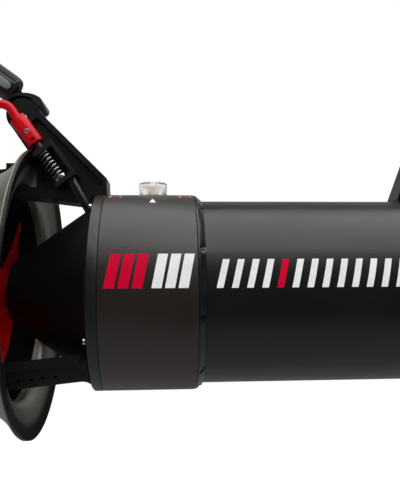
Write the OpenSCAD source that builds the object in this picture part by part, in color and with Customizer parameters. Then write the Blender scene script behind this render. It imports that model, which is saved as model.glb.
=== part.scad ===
// Underwater scooter (diver propulsion vehicle).
// Frame: +X is the nose end, +Y is port, +Z is up. The origin is on the hull's axis,
// at the bevelled joint between the tail section and the pressure tube.

/* [Hull] */
// Outer diameter of the pressure tube
tube_d = 190; // [180:1:200]
// Wall of the pressure tube
tube_wall = 6; // [5:0.5:8]
// Where the nose cap starts, forward of the joint
nose_x = 552; // [480:1:620]
// Length of the domed nose beyond the tube
nose_len = 74; // [50:1:90]

/* [Tail] */
// Outer diameter of the tail housing
tail_d = 203; // [201:0.5:206]
// Length of the tail housing
tail_len = 90.8; // [86:0.1:94]
// Axial length of the bevelled joint ring
bevel_len = 7.2; // [6:0.1:8]
// Axial length of the aft ring that carries the arms
ring_len = 10.6; // [10:0.1:12]
// Number of screws round the bevelled joint
joint_screw_count = 10; // [8:1:12]

/* [Shroud] */
// Radius of the bell mouth's rim
rim_r = 146.2; // [140:0.1:150]
// Distance of the rim aft of the joint
rim_back = 167.5; // [164:0.1:170]
// Radius of the throat, where the lip meets the liner
throat_r = 111.4; // [110:0.1:114]
// Distance of the throat aft of the joint
throat_back = 192.8; // [190:0.1:196]
// Length of the liner behind the throat
liner_len = 95; // [85:1:105]
// Width of the two lower arms
arm_w = 28; // [24:1:34]

/* [Propeller] */
// Tip radius of the blades
prop_r = 98; // [90:1:99]
// Radius of the hub
hub_r = 25.5; // [24:0.5:28]
// Advance per turn, which sets the blade twist
prop_pitch = 175; // [150:5:260]
// Angle of the upper blade, from starboard upwards
blade_angle = 133; // [0:1:180]

/* [Trigger] */
// Diameter of the pushrod
rod_d = 8.5; // [8:0.1:9]
// Slope of the pushrod below the horizontal
rod_slope = 53.5; // [53:0.1:54]
// Distance of the pushrod from the middle plane
rod_side = 30; // [30:0.5:31]
// Outside diameter of the return spring
spring_d = 14.4; // [13:0.1:16]
// Coils in the return spring
spring_coils = 7; // [6:1:8]

/* [Handles] */
// Half width of the handle beam
beam_half = 19; // [18:0.5:19.5]
// Slope of the pistol grip above the horizontal
grip_slope = 36; // [34:1:38]
// Length of the rubber grip
grip_len = 96; // [88:1:104]
// Where the aft foot of the carry handle starts
carry_x = 214; // [205:1:225]
// Length of the carry handle
carry_len = 176; // [150:1:180]
// Height of the carry handle above the tube
carry_h = 54; // [48:1:60]

/* [Dial] */
// Diameter of the clear speed dial
dial_d = 29.8; // [28:0.1:32]
// Height of the clear speed dial
dial_h = 16.6; // [14:0.1:18]
// Distance of the dial aft of the joint
dial_back = 49; // [47:0.5:51]

/* [Hidden] */
$fn = 96;

slack = 0.05;                 // clearance all round a seated piece
tube_r = tube_d / 2;
bore_r = tube_r - tube_wall;
tail_r = tail_d / 2;
tail_front = bevel_len - 13.2; // front edge of the tail housing, at the bevel's foot
bevel_front = tail_front + bevel_len;
tail_back = tail_front - tail_len;
ring_back = tail_back - ring_len;
tube_back = tail_back + 3;
cone_base_r = tail_r - 10.5;
cone_end_x = -192.4;
cone_end_r = 31.8;
rim_x = -rim_back;
throat_x = -throat_back;
liner_end = throat_x - liner_len;
land_x = throat_x + 6.8;      // the arms end on this cylindrical land
arm_angles = [90, 202, 314];
arm_t = 10.5;
arm_end_r = throat_r - 2 * slack;
shaft_r = 6;
prop_x = -210;                // middle of the propeller hub
dial_x = -dial_back;
dial_seat_z = tail_r - 3.1;
rod_dir = [cos(rod_slope), 0, -sin(rod_slope)];
rod_foot = [-115.9, -rod_side, 82.4];
// Distances along the rod, upwards from its foot
bracket_low = 34.5;
bracket_h = 42.5;
leg_t = 5;
collar_t = 4;
sleeve_start = 84.5;
sleeve_len = 32;
bar_bend = 132;
beam_end = [-182.5, 183.5];   // centre of the beam's round end, in X and Z
beam_end_r = 17.3;
grip_dir = [-cos(grip_slope), sin(grip_slope)];
grip_start = [-190.5, 209.9]; // where the grip's axis leaves the beam, in X and Z
tang_half = 6;

// A solid of revolution about the hull's axis, from [x, radius] points.
module lathe(points) {
    rotate([0, 90, 0]) rotate_extrude() polygon([for (p = points) [p[1], p[0]]]);
}
// A plain ring about the hull's axis.
module ring(x0, x1, r0, r1) {
    lathe([[x0, r0], [x1, r0], [x1, r1], [x0, r1]]);
}
// A solid rod along X.
module rod_x(x0, x1, r) {
    translate([x0, 0, 0]) rotate([0, 90, 0]) cylinder(h = x1 - x0, r = r);
}
// Children drawn along +Z are turned to an angle measured from starboard upwards.
module at_angle(a) {
    rotate([90 - a, 0, 0]) children();
}
// Children drawn in X and Z become a slab across Y.
module slab(half) {
    rotate([90, 0, 0]) linear_extrude(height = 2 * half, center = true) children();
}
// Children drawn along +Z run up the pushrod's axis from its foot.
module on_rod(up = 0) {
    translate(rod_foot - up * rod_dir) rotate([0, rod_slope - 90, 0]) children();
}
// A socket-head screw standing along +Z with its seat at zero.
module screw(d, len, head_d, head_h) {
    difference() {
        union() {
            translate([0, 0, -len]) cylinder(h = len, d = d, $fn = 24);
            cylinder(h = head_h, d = head_d, $fn = 24);
        }
        translate([0, 0, head_h * 0.4]) cylinder(h = head_h, d = head_d * 0.55, $fn = 6);
    }
}
// The joint screws' station along the hull and the radius of their heads' seats.
joint_screw_x = -1.4;
joint_seat_r = 96.2;
module joint_holes(d) {
    for (i = [0:joint_screw_count - 1])
        at_angle(23.5 + i * 360 / joint_screw_count)
            translate([joint_screw_x, 0, bore_r + 1]) cylinder(h = 20, d = d, $fn = 24);
}
nose_screw_x = nose_x - 12;
module nose_holes(d, r0) {
    for (i = [0:7])
        at_angle(22.5 + i * 45) translate([nose_screw_x, 0, r0]) cylinder(h = 20, d = d, $fn = 24);
}

// ---- Hull -------------------------------------------------------------

module hull_tube() color("#1c1c1d") {
    difference() {
        ring(tube_back, nose_x, bore_r, tube_r);
        joint_holes(4 + 2 * slack);
        nose_holes(5 + 2 * slack, bore_r - 4);
    }
}

nose_steps = 12;
skirt_len = 42;
module nose_cap() color("#19191a") {
    lip = 4;
    dome = [for (i = [0:nose_steps])
        let (t = 90 * i / nose_steps)
        [nose_x + lip + (nose_len - lip) * sin(t), tube_r * cos(t)]];
    hollow = [for (i = [nose_steps:-1:0])
        let (t = 90 * i / nose_steps)
        [nose_x + (nose_len - 6) * sin(t), (bore_r - 12) * cos(t)]];
    difference() {
        lathe(concat([[nose_x + slack, tube_r]], dome, hollow,
            [[nose_x - skirt_len, bore_r - 12], [nose_x - skirt_len, bore_r - slack],
             [nose_x + slack, bore_r - slack]]));
        for (x = [nose_x - 34, nose_x - 25]) ring(x, x + 4.2, bore_r - 3, bore_r + 1);
        nose_holes(5 + 2 * slack, bore_r - 8);
    }
}

module o_ring_pair(xs) {
    for (x = xs) ring(x + slack, x + 4.2 - slack, bore_r - 3 + slack, bore_r - 2 * slack);
}
module nose_o_rings() color("#101010") o_ring_pair([nose_x - 34, nose_x - 25]);

module nose_screws() color("#b9bbbd") {
    for (i = [0:7])
        at_angle(22.5 + i * 45)
            translate([nose_screw_x, 0, bore_r - 6]) {
                difference() {
                    cylinder(h = tube_wall + 5.2, d = 5, $fn = 24);
                    translate([0, 0, tube_wall + 2.6]) cylinder(h = 5, d = 2.5, $fn = 6);
                }
            }
}

module joint_ring() color("#2b2b2c") {
    difference() {
        lathe([[tail_front + slack, tube_r + slack], [bevel_front, tube_r + slack],
               [bevel_front, tube_r + 0.8], [tail_front + 1.4, tail_r - 0.6],
               [tail_front + slack, tail_r - 0.6]]);
        joint_holes(6.2);
    }
}

module joint_screws() color("#c3c5c7") {
    for (i = [0:joint_screw_count - 1])
        at_angle(23.5 + i * 360 / joint_screw_count)
            translate([joint_screw_x, 0, tube_r + slack]) {
                difference() {
                    union() {
                        translate([0, 0, -4]) cylinder(h = 4.5, d = 4, $fn = 24);
                        cylinder(h = joint_seat_r - tube_r + 1.6, d = 6, $fn = 24);
                    }
                    translate([0, 0, 1.4]) cylinder(h = 4, d = 3.2, $fn = 6);
                }
            }
}

// ---- Tail -------------------------------------------------------------

module tail_housing() color("#3a3532") {
    difference() {
        lathe([[tail_back, tube_r + slack], [tail_front, tube_r + slack],
               [tail_front, tail_r - 1], [tail_front - 1, tail_r],
               [tail_back + 0.6, tail_r], [tail_back, tail_r - 0.6]]);
        translate([dial_x, 0, dial_seat_z]) cylinder(h = 10, d = dial_d + 2);
        translate([dial_x, 0, tube_r + 1]) cylinder(h = 20, r = 4 + slack);
        ring_screw_holes(3.4, tail_back + 9);
    }
}

ring_screw_r = 98.4;
ring_screw_angles = [58, 150, 240, 334.5];
module ring_screw_holes(d, to_x) {
    for (a = ring_screw_angles)
        at_angle(a) translate([ring_back - 1, 0, ring_screw_r])
            rotate([0, 90, 0]) cylinder(h = to_x - ring_back + 1, d = d + 2 * slack, $fn = 24);
}

module tail_ring() color("#2f2f2f") {
    difference() {
        lathe([[ring_back, cone_base_r + slack], [tail_back - slack, cone_base_r + slack],
               [tail_back - slack, tail_r - 0.5], [tail_back - 0.6, tail_r],
               [ring_back + 1.2, tail_r], [ring_back, tail_r - 1.2]]);
        ring_screw_holes(3.4, tail_back + 9);
    }
}

// The outline of one arm, in X and across, with fillets where it leaves the ring.
arm_fillet = 9;
arm_root = ring_back - slack;
module arm_outline(w) {
    fillet = [for (i = [0:6])
        let (t = 90 * i / 6)
        [arm_root - arm_fillet * (1 - sin(t)), w / 2 + arm_fillet * (1 - cos(t))]];
    back = [for (i = [6:-1:0]) [fillet[i][0], -fillet[i][1]]];
    polygon(concat([[arm_end_x, -w / 2], [arm_end_x, w / 2]], fillet, back));
}
arm_end_x = throat_x + 0.3;
hole_first_x = -169.2;        // the first of the open holes along an arm
hole_pitch = 10.8;
arm_screw_x = throat_x + 7;   // the screw that holds the shroud
module arm(a, w, holes) {
    difference() {
        intersection() {
            lathe([[arm_root + 1, tail_r], [land_x, arm_end_r], [arm_end_x - 1, arm_end_r],
                   [arm_end_x - 1, arm_end_r - arm_t], [land_x, arm_end_r - arm_t],
                   [arm_root + 1, tail_r - arm_t]]);
            at_angle(a) translate([0, 0, 60]) linear_extrude(height = 80) arm_outline(w);
        }
        for (x = concat([arm_screw_x],
                        [for (i = [0:1:holes - 1]) hole_first_x + i * hole_pitch]))
            at_angle(a) translate([x, 0, 60]) cylinder(h = 80, d = 4 + 2 * slack, $fn = 24);
    }
}
module top_arm() color("#2f2f2f") {
    difference() {
        arm(arm_angles[0], 2 * beam_half, 0);
        beam_bolt_holes(5 + 2 * slack);
    }
}
module far_arm() color("#2f2f2f") arm(arm_angles[1], arm_w, 4);
module near_arm() color("#2f2f2f") arm(arm_angles[2], arm_w, 4);

module ring_screws() color("#b9bbbd") {
    for (a = ring_screw_angles)
        at_angle(a) translate([ring_back - slack, 0, ring_screw_r])
            rotate([0, -90, 0]) screw(3.4, ring_len + 8, 5.6, 2.4);
}

cone_wall = 5;
module stern_cone() color("#242424") {
    cone_slope = (cone_base_r - cone_end_r) / (ring_back - cone_end_x);
    difference() {
        lathe([[cone_end_x, 9.5], [cone_end_x, cone_end_r], [ring_back - 0.5, cone_base_r],
               [tail_back - slack, cone_base_r], [tail_back - slack, cone_base_r - 8],
               [ring_back - 1, cone_base_r - 8],
               [cone_end_x + 24, cone_end_r + 24 * cone_slope - 2 * cone_wall],
               [cone_end_x + 24, 14 + slack], [cone_end_x + 8, 14 + slack],
               [cone_end_x + 8, 9.5]]);
        on_lead(-12) cylinder(h = 30, d = rod_d + 2 * slack);
    }
}

bulkhead_back = tail_back + slack;
bulkhead_front = bulkhead_back + 26;
module bulkhead() color("#8d9093") {
    difference() {
        union() {
            ring(bulkhead_back, bulkhead_back + 2.9, 12, cone_base_r - 1);
            ring(bulkhead_back + 2.9 + slack, bulkhead_front, 12, bore_r - slack);
            ring(bulkhead_back + 1, bulkhead_back + 6, 12, 80);
        }
        for (x = [tube_back + 5, tube_back + 13]) ring(x, x + 4.2, bore_r - 3, bore_r + 1);
    }
}
module tail_o_rings() color("#101010") o_ring_pair([tube_back + 5, tube_back + 13]);

// ---- Shroud -----------------------------------------------------------

bell_steps = 10;
bell_back_r = 117.5;
bell_turn = 45;               // how far round its arc each side of the bell runs
// The bell's outer face, from the rim aft, as [x, radius] points grown by extra.
function bell_outside(extra = 0) =
    [for (i = [0:bell_steps])
        let (t = bell_turn * (1 - i / bell_steps))
        [rim_x - 48 + 42.5 * sin(t) / sin(bell_turn),
         120.5 + extra + 25.7 * (1 - cos(t)) / (1 - cos(bell_turn))]];
function bell_inside(extra = 0) =
    [for (i = [0:bell_steps])
        let (t = bell_turn * i / bell_steps)
        [land_x + extra + (rim_x - land_x) * sin(t) / sin(bell_turn),
         throat_r - extra + (rim_r - throat_r) * (1 - cos(t)) / (1 - cos(bell_turn))]];
// The bell without its holes. What is cut to fit it takes a little extra.
module bell_form(extra = 0) {
    lathe(concat([[liner_end, throat_r - extra], [throat_x, throat_r - extra]],
        bell_inside(extra), [[rim_x + extra, rim_r], [rim_x + extra, rim_r + 1.2 + extra],
        [rim_x - 3.8, rim_r + 1.2 + extra]], bell_outside(extra),
        [[liner_end, bell_back_r + extra]]));
}
module shroud_bell() color("#3c3c3b") {
    difference() {
        bell_form();
        shroud_screw_holes(4);
        tow_screw_holes(4);
    }
}
module shroud_screw_holes(d) {
    for (a = arm_angles)
        at_angle(a) translate([arm_screw_x, 0, 90])
            cylinder(h = 80, d = d + 2 * slack, $fn = 24);
}
module throat_liner() color("#0d0d0d") {
    steps = 8;
    flare = [for (i = [0:steps])
        let (t = 90 * i / steps)
        [throat_x - slack - 24 * sin(t), 102.5 + 8 * (1 - sin(t))]];
    lathe(concat(flare, [[liner_end + 20, 101.5], [liner_end, 104],
        [liner_end, throat_r - slack], [throat_x - slack, throat_r - slack]]));
}
module shroud_screws() color("#b9bbbd") {
    for (a = arm_angles)
        at_angle(a) translate([arm_screw_x, 0, arm_end_r - arm_t + 1])
            cylinder(h = 19, d = 4, $fn = 24);
}

tow_x = -199.5;
tow_t = 5;
tow_hole_x = -197;
tow_hole_z = 129.8;
module tow_screw_holes(d) {
    for (x = [-226, -214])
        translate([x, 0, 106]) cylinder(h = 30, d = d, $fn = 24);
}
module tow_eye() color("#2a2a2a") {
    difference() {
        union() {
            slab(tow_t / 2) polygon([[-203.6, 121], [-203.6, 136], [-190.5, 136], [-190.5, 130],
                [-196, 121.4]]);
            slab(tow_t / 2) polygon([[-232, 122], [-232, 126.2], [-203, 130], [-200, 122]]);
            translate([-232, -9, 118]) cube([28, 18, 6.6]);
        }
        shroud_skin();
        translate([tow_hole_x, 0, tow_hole_z]) rotate([90, 0, 0])
            cylinder(h = 20, d = 6, center = true, $fn = 32);
        tow_screw_holes(4 + 2 * slack);
        for (x = [-226, -214])
            translate([x, 0, 124.6]) cylinder(h = 30, d = 7.4, $fn = 24);
    }
}
// The room inside the shroud's outer shape, cut out of what is bolted onto it.
module shroud_skin() {
    lathe(concat([[liner_end, 0], [rim_x, 0], [rim_x, rim_r + 3], [rim_x - 4, rim_r + 3]],
        bell_outside(slack), [[liner_end, bell_back_r + slack]]));
}
module tow_eye_screws() color("#c3c5c7") {
    for (x = [-226, -214])
        translate([x, 0, 124.7]) screw(4 - 2 * slack, 12.5, 7, 3);
}

// ---- Handle -----------------------------------------------------------

// The beam's side outline in X and Z.
module beam_outline() {
    polygon([[-95.7, 90], [-96.6, 117.5], [-172, 192.9], [-194.4, 171],
        [-178, 147], [-176.5, 133], [-168.4, 124], [-167.7, 90]]);
    translate(beam_end) circle(r = beam_end_r);
}
module tang_outline(extra = 0) {
    far = grip_start + (grip_len + 2) * grip_dir;
    w = 8 + extra;
    side = [grip_dir[1], -grip_dir[0]];
    polygon([beam_end + [2, 4] + w * side, beam_end - [4, -4] - w * side,
        grip_start + 12 * grip_dir - w * side, far - w * side, far + w * side,
        grip_start + 12 * grip_dir + w * side]);
}
// What the beam's foot sits on: the tail housing, the ring and the top arm.
module seat() {
    lathe([[-90, 0], [-90, tail_r + slack], [ring_back + 1, tail_r + slack],
           [land_x, arm_end_r + slack], [throat_x, arm_end_r + slack], [throat_x, 0]]);
}
beam_web_half = 13.5;
module handle_beam() color("#2b2b2b") {
    difference() {
        union() {
            difference() {
                slab(beam_half) beam_outline();
                // Pockets that leave the flange proud of the web on both sides
                for (s = [-1, 1])
                    translate([0, s * (beam_web_half + 10), 0]) slab(10)
                        polygon([[-101, 110], [-101.4, 114.4], [-168, 181], [-186, 168],
                            [-171.5, 150], [-170, 135], [-163, 127], [-162.4, 114]]);
            }
            bracket_pad();
            slab(tang_half) tang_outline();
        }
        seat();
        bell_form(slack);
        beam_bolt_holes(5 + 2 * slack);
        for (u = bracket_screw_ups) bracket_screw_at(u) cylinder(h = 16, d = 3 + 2 * slack, $fn = 24);
    }
}
// The raised pad on the beam's starboard side that the spring bracket sits on.
module bracket_pad() {
    intersection() {
        slab(beam_half) beam_outline();
        on_rod(bracket_low) translate([-bracket_near, rod_side - beam_half, 0])
            cube([bracket_far + bracket_near, beam_half - beam_web_half + 1, bracket_h]);
    }
}
beam_bolt_xs = [-154, -118];
module beam_bolt_holes(d) {
    for (x = beam_bolt_xs)
        translate([x, 0, 80]) cylinder(h = 42, d = d, $fn = 24);
}
// The underside of the top arm, where the bolts' heads sit.
function arm_under_z(x) =
    tail_r - arm_t + (ring_back - x) * (arm_end_r - tail_r) / (ring_back - land_x) - 0.6;
module beam_bolts() color("#b9bbbd") {
    for (x = beam_bolt_xs)
        translate([x, 0, arm_under_z(x)]) mirror([0, 0, 1]) screw(5 - 2 * slack, 24, 8, 3.6);
}
guard_end = [-168.6, 197.4];  // centre of the guard's rounded lower end
module hand_guard() color("#363636") {
    difference() {
        slab(beam_half + 1) {
            difference() {
                translate([-181, 179]) circle(r = 27.3);
                translate([-185.2, 182.2]) circle(r = 21.2);
                polygon([[-181, 179], [-215, 219], [-230, 179], [-200, 140], [-140, 150],
                    [-146, 198.4], [-158.6, 212.2]]);
            }
            translate(guard_end) circle(r = 5.1);
        }
        slab(beam_half + 2) beam_outline();
        slab(tang_half + slack) tang_outline(slack);
    }
}

grip_r = 15;
// Along the grip's axis: local X runs up the grip, local Z is square to it in X and Z.
module on_grip(along = 0) {
    translate([grip_start[0], 0, grip_start[1]]) rotate([0, grip_slope - 180, 0])
        translate([along, 0, 0]) children();
}
module grip_sleeve() color("#191919") {
    difference() {
        on_grip() rotate([0, 90, 0]) rotate_extrude() polygon([[0, 4], [grip_r - 2, 4],
            [grip_r, 6], [grip_r, grip_len - 3], [grip_r - 2.6, grip_len], [0, grip_len]]);
        // Grooves along the grip's back
        for (a = [-45:15:45])
            on_grip(-1) rotate([a, 0, 0]) translate([0, 0, -grip_r - 0.6])
                rotate([0, 90, 0]) cylinder(h = grip_len + 4, r = 1.3, $fn = 24);
        slab(tang_half + slack) tang_outline(slack);
        slab(beam_half + 3) translate([-181, 179]) circle(r = 27.4);
        slab(beam_half + 3) translate(beam_end) circle(r = beam_end_r + 3);
    }
}
module grip_cap() color("#222222") {
    difference() {
        on_grip() rotate([0, 90, 0]) rotate_extrude() polygon([[0, grip_len + 2.2],
            [0, grip_len + 7], [9, grip_len + 6.4], [12.6, grip_len + 4],
            [13.2, grip_len + slack], [11, grip_len + slack], [11, grip_len + 2.2]]);
        on_grip() translate([grip_len, 0, 0]) rotate([0, 90, 0]) cylinder(h = 12, d = 5.2, $fn = 24);
        on_grip() translate([grip_len + 4.4, 0, 0]) rotate([0, 90, 0])
            cylinder(h = 12, d = 9.4, $fn = 24);
    }
}
module grip_bolt() color("#b9bbbd") {
    on_grip() translate([grip_len + 4.5, 0, 0]) rotate([0, 90, 0]) screw(5, 2.2, 9, 2);
}

// ---- Trigger and return spring -----------------------------------------

// Children are drawn along the screw's axis, which runs into the beam's near side.
// Children drawn along +Z run up the tube that takes the switch's lead into the cone.
lead_slope = 60.7;
module on_lead(up = 0) {
    translate([-113.4, -rod_side, 82.9]) rotate([0, lead_slope - 90, 0])
        translate([0, 0, up]) children();
}
module bracket_screw_at(up) {
    on_rod(bracket_low + up) translate([0, rod_side - beam_half, 0])
        rotate([-90, 0, 0]) children();
}
bracket_far = 14.3;
bracket_near = 9.6;
bracket_back = rod_side - beam_half - slack;
bracket_out = 8.5;
bracket_plate = 2.4;
bracket_screw_ups = [14, 33];
module spring_bracket() color("#333333") {
    wide = bracket_out + bracket_back;
    long = bracket_far + bracket_near;
    difference() {
        union() {
            on_rod(bracket_low) {
                for (up = [0, bracket_h - leg_t])
                    translate([-bracket_near, -bracket_out, up]) cube([long, wide, leg_t]);
                translate([bracket_far - 3.6, -bracket_out, 0]) cube([3.6, wide, bracket_h]);
                translate([-bracket_near, bracket_back - bracket_plate, 0])
                    cube([long, bracket_plate, bracket_h]);
            }
            on_lead(-6) cylinder(h = 42, d = rod_d);
        }
        on_rod(bracket_low + leg_t + 1) cylinder(h = bracket_h, r = rod_d / 2 + slack);
        bell_form(slack);
        for (up = bracket_screw_ups)
            bracket_screw_at(up) {
                translate([0, 0, -4]) cylinder(h = 8, d = 3 + 2 * slack, $fn = 24);
                translate([0, 0, -4]) cylinder(h = 3, d = 6 + 2 * slack, $fn = 24);
            }
    }
}
module bracket_screws() color("#b9bbbd") {
    for (up = bracket_screw_ups)
        bracket_screw_at(up) difference() {
            union() {
                translate([0, 0, -1.1]) cylinder(h = 10, d = 3, $fn = 24);
                translate([0, 0, -2.3]) cylinder(h = 1.25, d = 6, $fn = 24);
            }
            translate([0, 0, -3]) cylinder(h = 1.5, d = 2, $fn = 6);
        }
}

// A tube swept along points; across is a direction that the path never runs along.
function unit(v) = v / norm(v);
function tangent(p, i) =
    unit(p[min(i + 1, len(p) - 1)] - p[max(i - 1, 0)]);
module sweep(points, r, sides, across) {
    n = len(points);
    rings = [for (i = [0:n - 1])
        let (t = tangent(points, i), u = unit(cross(across, t)), v = cross(t, u))
        for (k = [0:sides - 1])
            points[i] + r * (cos(360 * k / sides) * u + sin(360 * k / sides) * v)];
    walls = [for (i = [0:n - 2], k = [0:sides - 1])
        let (a = i * sides + k, b = i * sides + (k + 1) % sides)
        [a, a + sides, b + sides, b]];
    near_end = [[for (k = [0:sides - 1]) k]];
    far_end = [[for (k = [sides - 1:-1:0]) (n - 1) * sides + k]];
    polyhedron(points = rings, faces = concat(walls, near_end, far_end), convexity = 6);
}
// Points of a smooth curve through the given ones, four steps to each span.
function curve_point(a, b, c, d, t) =
    0.5 * (2 * b + (c - a) * t + (2 * a - 5 * b + 4 * c - d) * t * t
        + (3 * b - a - 3 * c + d) * t * t * t);
function smooth(p, steps = 4) =
    let (n = len(p))
    concat([for (i = [0:n - 2], s = [0:steps - 1])
        curve_point(p[max(i - 1, 0)], p[i], p[i + 1], p[min(i + 2, n - 1)], s / steps)],
        [p[n - 1]]);

wire_d = 2;
spring_low = bracket_low + leg_t + collar_t;
spring_high = bracket_low + bracket_h - leg_t;
turn_steps = 20;
module return_spring() color("#a9abad") {
    mean_r = (spring_d - wire_d) / 2;
    rise = spring_high - spring_low - wire_d - 0.2;
    n = spring_coils * turn_steps;
    on_rod(spring_low + wire_d / 2 + 0.1)
        sweep([for (i = [0:n])
            [mean_r * cos(360 * i / turn_steps), mean_r * sin(360 * i / turn_steps),
             rise * i / n]], wire_d / 2, 8, [0, 0, 1]);
}
module spring_collar() color("#cfd1d2") {
    difference() {
        on_rod(bracket_low + leg_t + slack) cylinder(h = collar_t - slack, d = spring_d);
        on_rod(bracket_low) cylinder(h = 20, r = rod_d / 2 + slack / 2);
    }
}
rod_low = bracket_low + leg_t + 0.3;
rod_top = sleeve_start + 20;
module pushrod() color("#2a2a2a") {
    difference() {
        on_rod(rod_low) cylinder(h = rod_top - rod_low, d = rod_d);
        on_rod(rod_low - 1) cylinder(h = 6, d = 6, $fn = 32);
    }
}
module rod_magnet() color("#c9cacb") {
    on_rod(rod_low + 0.3) cylinder(h = 4.6, d = 6 - 2 * slack, $fn = 32);
}
bar_d = 9;
sleeve_d = 17;
bar_start = sleeve_start + 21;
sleeve_hole_up = 4;
// Each sleeve screw's distance up the sleeve, and its turn from starboard towards the bow
sleeve_screw_spots = [[13.3, 0], [28, 90]];
module at_sleeve_screw(spot) {
    on_rod(sleeve_start + spot[0]) rotate([0, 0, spot[1]]) rotate([90, 0, 0]) children();
}
module trigger_sleeve() color("#c8102e") {
    difference() {
        on_rod(sleeve_start) cylinder(h = sleeve_len, d = sleeve_d);
        on_rod(sleeve_start - 1) cylinder(h = 22, r = rod_d / 2 + slack / 2);
        on_rod(sleeve_start + 20.5) cylinder(h = 20, r = bar_d / 2 + slack);
        at_sleeve_screw([sleeve_hole_up, 0]) cylinder(h = 20, d = 4, $fn = 24);
        for (spot = sleeve_screw_spots)
            at_sleeve_screw(spot) cylinder(h = 20, d = sleeve_screw_d + 2 * slack, $fn = 24);
    }
}
sleeve_screw_d = 5;
module sleeve_screws() color("#c3c5c7") {
    for (spot = sleeve_screw_spots)
        at_sleeve_screw(spot) difference() {
            translate([0, 0, bar_d / 2 + 2 * slack]) cylinder(h = 4, d = sleeve_screw_d, $fn = 24);
            translate([0, 0, 7]) cylinder(h = 4, d = 2.4, $fn = 6);
        }
}
// The bar leaves the rod's axis, runs aft past the beam's end and turns in under the grip.
bar_route = [rod_foot - bar_start * rod_dir, rod_foot - 120 * rod_dir,
    rod_foot - 131 * rod_dir, [-203, -30, 191], [-222, -26, 192], [-238, -11, 196],
    [-252, -1, 205], [-262, 0, 212.4], [-272, 0, 219.6]];
module trigger_bar() color("#c8102e") {
    sweep(smooth(bar_route), bar_d / 2, 16, [0, 1, 0]);
}

// ---- Speed dial and carry handle ----------------------------------------

dial_gap = 0.3;
dial_top_t = 4;
module speed_dial() color("#d8dde0") {
    under = dial_h - dial_top_t;
    translate([dial_x, 0, dial_seat_z + dial_gap]) difference() {
        rotate_extrude() polygon([[0, dial_h], [0, under], [4 + slack, under], [4 + slack, 2],
            [7, 2], [7, under], [11.5, under], [11.5, 0], [dial_d / 2 - 0.6, 0],
            [dial_d / 2, 0.6], [dial_d / 2, dial_h - 1], [dial_d / 2 - 1, dial_h]]);
        // The index notch, which shows where the dial points
        translate([0, dial_d / 2 + 0.6, -1]) cylinder(h = dial_h + 2, d = 3, $fn = 24);
    }
}
spindle_low = tube_r + 1.3;
module dial_spindle() color("#e8e8e6") {
    translate([dial_x, 0, spindle_low])
        cylinder(h = dial_seat_z + dial_gap + dial_h - dial_top_t - slack - spindle_low, r = 4);
}

carry_front = carry_x + carry_len;
carry_top = tube_r + carry_h;
carry_half = 14;
module carry_outline() {
    offset(r = 9, $fn = 32) offset(delta = -9)
        polygon([[carry_x, 60], [carry_x, tube_r + 3], [carry_x + 20, carry_top],
            [carry_front - 20, carry_top], [carry_front, tube_r + 3], [carry_front, 60]]);
}
module carry_gap() {
    offset(r = 7, $fn = 32) offset(delta = -7)
        polygon([[carry_x + 30, tube_r + 8], [carry_x + 38, carry_top - 15],
            [carry_front - 38, carry_top - 15], [carry_front - 30, tube_r + 8]]);
}
module carry_handle() color("#1d1d1d") {
    difference() {
        slab(carry_half) difference() {
            carry_outline();
            carry_gap();
        }
        rod_x(carry_x - 5, carry_front + 5, tube_r + slack);
        for (x = [carry_x + 14, carry_front - 14])
            translate([x, 0, tube_r + 9]) {
                cylinder(h = 50, d = 9, $fn = 24);
                translate([0, 0, -15]) cylinder(h = 20, d = 5 + 2 * slack, $fn = 24);
            }
    }
}
module carry_handle_bolts() color("#b9bbbd") {
    for (x = [carry_x + 14, carry_front - 14])
        translate([x, 0, tube_r + 9]) screw(5, 8, 8.4, 4);
}

// ---- Propeller and motor ------------------------------------------------

hub_front = -193;
hub_back = -229;
blade_steps = 9;
blade_sides = 8;
// One station of a blade: its chord, thickness and twist all follow the radius.
function blade_ring(r) =
    let (f = (r - 20) / (prop_r - 20),
         chord = 40 + 26 * sin(150 * f) - 12 * f,
         thick = 7 - 4.6 * f,
         twist = atan(prop_pitch / (2 * PI * r)),
         rake = 4 * f)
    [for (k = [0:2 * blade_sides - 1])
        let (a = 180 * k / blade_sides,
             s = chord / 2 * cos(a),
             h = thick / 2 * sin(a))
        [rake + s * sin(twist) + h * cos(twist), -s * cos(twist) + h * sin(twist), r]];
module blade() {
    n = 2 * blade_sides;
    tip = prop_r - 0.5;
    points = [for (i = [0:blade_steps]) each blade_ring(20 + (tip - 20) * i / blade_steps)];
    walls = [for (i = [0:blade_steps - 1], k = [0:n - 1])
        let (a = i * n + k, b = i * n + (k + 1) % n)
        each [[a, b + n, b], [a, a + n, b + n]]];
    root = [[for (k = [0:n - 1]) k]];
    end = [[for (k = [n - 1:-1:0]) blade_steps * n + k]];
    translate([prop_x, 0, 0])
        polyhedron(points = points, faces = concat(walls, root, end), convexity = 4);
}
module propeller() color("#c4101f") {
    difference() {
        union() {
            lathe([[hub_front, 0], [hub_front, hub_r - 3], [hub_front - 3, hub_r],
                   [hub_back + 4, hub_r], [hub_back, hub_r - 3], [hub_back, 0]]);
            for (a = [blade_angle, blade_angle + 180]) at_angle(a) blade();
        }
        rod_x(hub_back - 1, hub_front + 1, shaft_r + slack);
        rod_x(hub_back - 1, hub_back + 6, 15);
    }
}
nut_x = hub_back - 4;
module prop_nut() color("#c3c5c7") {
    difference() {
        union() {
            rod_x(nut_x + 7.7, nut_x + 9.9, 14);
            translate([nut_x, 0, 0]) rotate([0, 90, 0]) cylinder(h = 7.7, r = 10.5, $fn = 6);
        }
        rod_x(nut_x - 1, nut_x + 12, shaft_r + slack);
    }
}
shaft_back = nut_x - 5;
shaft_front = -14;
module prop_shaft() color("#b4b6b8") {
    union() {
        rod_x(shaft_back, shaft_front, shaft_r);
        rod_x(cone_end_x + 18.1, cone_end_x + 27, shaft_r + 2.5);
    }
}
seal_x = cone_end_x + slack;
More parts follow.
